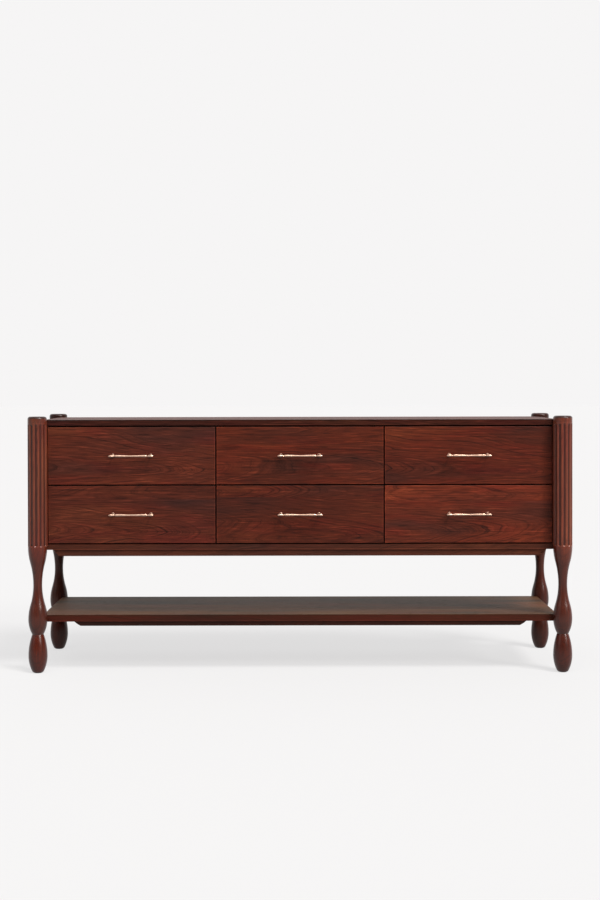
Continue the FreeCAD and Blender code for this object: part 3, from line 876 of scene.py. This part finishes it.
def make_post(number, name, outline):
    low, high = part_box(f"leg_{name}")
    middle = (low + high) / 2
    centre = Vector((middle.x, middle.y, 0))
    bm = bmesh.new()
    turn_profile(bm, outline, centre, UPWARDS, RIGHTWARDS, POST_STEPS)
    cut_flutes(bm, centre)
    tone, gloss, top_shade_depth = POST_FINISHES[name]
    # The post's stain carries painted highlight and shade on its flutes, rim and foot
    post_shading = post_stain_and_painted_shade(centre, high.z, top_shade_depth)
    pith = Vector((-0.02, 0.03 + 0.01 * number, 0.4 * number))
    heart = (pith.z, centre.y + pith.y, -centre.x + pith.x)
    wood = stained_oak(
        f"post_oak_{name}", ALONG_Z, heart, tone, shade=post_shading,
        shine=0.12, polish=0.12, gloss=gloss, cast=painted_land_sheen_and_foot_tint(centre), figure=0.45, relief=0.08,
    )
    post = finished_piece(f"turned_post_{name}", bm, wood, "case", POST_SHARP)
    cut_seats(post, centre)
    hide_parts(f"leg_{name}")


# Pulls

def pull_outline():
    """A bar pull's outline from end to end: eased between its beads, with egg-shaped ends."""
    half = []
    for (start, thick), (end, next_thick) in zip(PULL_BEADS, PULL_BEADS[1:]):
        steps = 14 if end - start > PULL_LONG_BEAD else 8
        for step in range(steps):
            share = step / steps
            eased = (1 - math.cos(math.pi * share)) / 2
            half.append((start + (end - start) * share, thick + (next_thick - thick) * eased))
    finial_at, finial_radius = PULL_BEADS[-1]
    for step in range(PULL_TIP_STEPS + 1):
        angle = QUARTER_TURN * step / PULL_TIP_STEPS
        half.append((finial_at + (PULL_END - finial_at) * math.sin(angle), finial_radius * math.cos(angle)))
    half[-1] = (PULL_END, 0.0)
    return [(-along, radius) for along, radius in reversed(half[1:])] + half


def pull_post_outline():
    """A pull post's outline, from the drawer front out: a rim, a cove and a slim stem."""
    eased_radius = PULL_BASE_RADIUS - PULL_BASE_EASE
    points = [(0.0, 0.0), (0.0, eased_radius), (PULL_BASE_EASE, PULL_BASE_RADIUS)]
    points += [(PULL_BASE_RIM - PULL_BASE_EASE, PULL_BASE_RADIUS), (PULL_BASE_RIM, eased_radius)]
    for step in range(1, PULL_COVE_STEPS + 1):
        share = step / PULL_COVE_STEPS
        along = PULL_BASE_RIM + (PULL_COVE_END - PULL_BASE_RIM) * share
        cove = (1 - share) ** 2
        points.append((along, PULL_POST_RADIUS + (PULL_COVE_RADIUS - PULL_POST_RADIUS) * cove))
    stem_end = PULL_REACH - PULL_STEM_SINK
    points += [(stem_end, PULL_POST_RADIUS), (stem_end, 0.0)]
    return points


def make_pull(name):
    low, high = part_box(f"pull_{name}")
    middle = (low + high) / 2
    # Painted shade under the bar, painted highlight over it
    underside_shading = painted_underside_shade(middle.z)
    brass = metal(f"lacquered_brass_{name}", BRASS_LIGHT, BRASS_DARK, 0.26, (900, 60, 60), underside_shading)
    bm = bmesh.new()
    centre = Vector((middle.x, high.y - PULL_REACH, middle.z))
    turn_profile(bm, pull_outline(), centre, RIGHTWARDS, UPWARDS, PULL_STEPS)
    for side in (-1, 1):
        foot = Vector((middle.x + PULL_POST_AT * side, high.y, middle.z))
        turn_profile(bm, pull_post_outline(), foot, FORWARDS, UPWARDS, PULL_STEPS)
    pull = finished_piece(f"turned_pull_{name}", bm, brass, f"drawer_{name}")
    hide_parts(f"pull_{name}")


def make_pull_screws(name, steel):
    """The round heads of the two screws that hold a pull, inside its drawer."""
    low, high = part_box(f"pull_{name}")
    middle = (low + high) / 2
    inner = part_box(f"drawer_ends_{name}")[0].y + DRAWER_END_THICK
    bm = bmesh.new()
    for side in (-1, 1):
        seat = Vector((middle.x + PULL_POST_AT * side, inner, middle.z))
        turn_profile(bm, SCREW_OUTLINE, seat, BACKWARDS, UPWARDS, SCREW_STEPS)
    finished_piece(f"pull_screws_{name}", bm, steel, f"drawer_{name}")


# Dressing the CAD nodes

def dress(node, material):
    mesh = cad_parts[node].data
    mesh.materials.clear()
    mesh.materials.append(material)


def dress_panels():
    for number, (name, finish) in enumerate(PANEL_FINISHES.items()):
        low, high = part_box(name)
        pith = (1.7 * number, high.z + 0.05, 0.01)
        # Painted light and shade on the panel's edges and top
        edges = painted_panel_light_and_shade(low, high, **PANEL_SHADES[name])
        # The top is tinted with a painted sheen
        tint = painted_sheen_top(high, **PANEL_SHEEN_AND_SIDE_TINTS[name])
        wood = stained_oak(
            f"oak_{name}", ALONG_X_FLAT, pith, boards=PANEL_BOARD, shade=edges, cast=tint, **finish,
        )
        dress(name, wood)
    face_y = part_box("top_panel")[0].y
    low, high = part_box("case_bottom")
    # Painted highlight on the case bottom's lower edge
    edges = painted_panel_light_and_shade(low, high, **PANEL_SHADES["case_bottom"])
    pith = (0.6, face_y + 0.04, 0.43)
    wood = stained_oak("oak_case_bottom", ALONG_X, pith, 0.64, shade=edges, cast=BOTTOM_TINT, figure=0.6)
    dress("case_bottom", wood)


def dress_case():
    aprons = [(apron, f"{apron}_{end}") for apron in APRON_SHADES for end in ("front", "rear")]
    for number, (apron, name) in enumerate(aprons):
        low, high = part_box(name)
        pith = (0.9 + 0.7 * number, low.y + 0.045, (low.z + high.z) / 2 + 0.02)
        # Painted shade low on the apron, painted light high on it
        shades = painted_apron_light_and_shade(low, high, *APRON_SHADES[apron])
        tint = APRON_TINTS[apron]
        dress(name, stained_oak(f"oak_{name}", ALONG_X, pith, shade=shades, cast=tint, figure=0.5))
    # The dividers' dark tone is painted shade in the gaps
    for number, (name, tone) in enumerate(UPRIGHT_TONES_AND_GAP_SHADE.items()):
        low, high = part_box(name)
        dress(name, stained_oak(f"oak_{name}", ALONG_Z, (0.5 * number, 0.02, -low.x - 0.05), tone))
    dress("back_panel", stained_oak("oak_back_panel", ALONG_X, (2.6, 0.26, 0.62), 0.85))


def dress_fronts():
    for number, name in enumerate(DRAWERS):
        board_share, tone, tint = FRONT_FINISHES[name]
        low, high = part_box(f"drawer_front_{name}")
        pith = (0.83 * number, low.y + 0.06, low.z)
        boards = (high.z - low.z) * board_share
        # The fronts carry a painted highlight on their edges and painted shade in the gaps
        wood = stained_oak(f"oak_front_{name}", ALONG_X, pith, tone, boards, painted_edge_highlight_and_gap_shade(low, high), cast=tint)
        dress(f"drawer_front_{name}", wood)


def dress_boxes():
    sides = plain_wood("drawer_birch_sides", ALONG_Y, BIRCH_LIGHT, BIRCH_DARK)
    ends = plain_wood("drawer_birch_ends", ALONG_X, BIRCH_LIGHT, BIRCH_DARK)
    bottom = plain_wood("drawer_birch_bottom", ALONG_X_FLAT, BIRCH_FACE_LIGHT, BIRCH_FACE_DARK)
    for name in DRAWERS:
        dress(f"drawer_sides_{name}", sides)
        dress(f"drawer_ends_{name}", ends)
        dress(f"drawer_bottom_{name}", bottom)


def dress_slides(steel):
    dress("fixed_slides", steel)
    for name in DRAWERS:
        dress(f"middle_slides_{name}", steel)
        dress(f"drawer_slides_{name}", steel)


# Stage, light and camera

def seen_share(tree, in_gloss=1.0):
    """How much a ray sees of the studio as a picture shows it: all, or this much in a mirror."""
    path = add_node(tree, "ShaderNodeLightPath").outputs
    share = larger(tree, path["Is Camera Ray"], path["Is Transmission Ray"])
    return larger(tree, share, product(tree, path["Is Glossy Ray"], in_gloss))


def make_floor():
    """A pale floor that runs to the horizon, and keeps a soft share of the shadows."""
    bm = bmesh.new()
    bmesh.ops.create_grid(bm, x_segments=1, y_segments=1, size=FLOOR_SIZE)
    mesh = mesh_from("floor", bm)
    floor = placed("floor", mesh)

    material = bpy.data.materials.new("floor_paper")
    material.use_nodes = True
    tree = material.node_tree
    tree.nodes.clear()
    matt = add_node(tree, "ShaderNodeBsdfDiffuse", {"Color": grey(FLOOR_TONE)})
    glow = add_node(tree, "ShaderNodeEmission", {"Color": BACKDROP, "Strength": 1.0})
    bounce = add_node(tree, "ShaderNodeBsdfDiffuse", {"Color": grey(FLOOR_BOUNCE)})
    seen = blend_shaders(tree, FLOOR_GLOW, matt, glow)
    mixed = blend_shaders(tree, seen_share(tree), bounce, seen)
    add_node(tree, "ShaderNodeOutputMaterial", {"Surface": mixed.outputs[0]})
    mesh.materials.append(material)


def make_world():
    """A studio that is bright behind the dresser and dim in front of it."""
    world = bpy.data.worlds.new("studio")
    bpy.context.scene.world = world
    world.use_nodes = True
    tree = world.node_tree
    tree.nodes.clear()
    ahead = split(tree, add_node(tree, "ShaderNodeTexCoord").outputs["Generated"])[1]
    level = between(tree, ahead, -0.3, 0.5, STUDIO_FRONT_LEVEL, STUDIO_REAR_LEVEL)
    soft = add_node(tree, "ShaderNodeBackground", {"Color": STUDIO_WHITE, "Strength": level})
    seen = add_node(tree, "ShaderNodeBackground", {"Color": BACKDROP, "Strength": 1.0})
    behind = between(tree, ahead, 0.0, 0.4)
    mixed = blend_shaders(tree, seen_share(tree, behind), soft, seen)
    add_node(tree, "ShaderNodeOutputWorld", {"Surface": mixed.outputs[0]})


def make_lamp(name, azimuth, elevation, level, spread, tint=(1.0, 1.0, 1.0)):
    """A far softbox: its azimuth is to the viewer's right of the fronts, and its spread is its width."""
    data = bpy.data.lights.new(name, "SUN")
    data.energy = level * math.pi
    data.angle = math.radians(spread)
    data.color = tint
    turn, rise = math.radians(azimuth), math.radians(elevation)
    towards = Vector((math.sin(turn) * math.cos(rise), -math.cos(turn) * math.cos(rise), math.sin(rise)))
    lamp = placed(name, data)
    lamp.location = towards * LAMP_DISTANCE
    lamp.rotation_euler = (-towards).to_track_quat("-Z", "Y").to_euler()


def make_lights():
    make_lamp("key_right_high", 40, 56, 0.84, 18, WARM_LAMP)
    make_lamp("key_right_low", 50, 28, 0.50, 14, WARM_LAMP)
    make_lamp("front_high", -5, 60, 0.32, 45)
    make_lamp("fill_left", -60, 25, 0.09, 40)


def make_camera():
    data = bpy.data.cameras.new("camera")
    data.lens = LENS
    data.shift_x = CAMERA_SHIFT_X
    data.shift_y = CAMERA_SHIFT_Y
    camera = placed("camera", data)
    level = Matrix.Rotation(QUARTER_TURN, 4, "X")
    pitched = Matrix.Rotation(CAMERA_YAW, 4, "Z") @ Matrix.Rotation(CAMERA_PITCH, 4, "X") @ level
    camera.matrix_world = Matrix.Translation(CAMERA_PLACE) @ pitched @ Matrix.Rotation(CAMERA_ROLL, 4, "Z")
    bpy.context.scene.camera = camera


# The whole dresser

bpy.context.scene.view_settings.view_transform = "Standard"
make_camera()
make_world()
make_floor()
make_lights()

OUTLINE = post_outline()
for post_number, post_name in enumerate(POST_FINISHES):
    make_post(post_number, post_name, OUTLINE)
dress_panels()
dress_case()
dress_fronts()
dress_boxes()
STEEL = metal("bright_zinc", ZINC_LIGHT, ZINC_DARK, 0.28, (300, 12, 300))
dress_slides(STEEL)
for drawer_name in DRAWERS:
    make_pull(drawer_name)
    make_pull_screws(drawer_name, STEEL)
dress("leg_glides", moulded_plastic("glide_plastic", GLIDE_LIGHT, GLIDE_DARK))
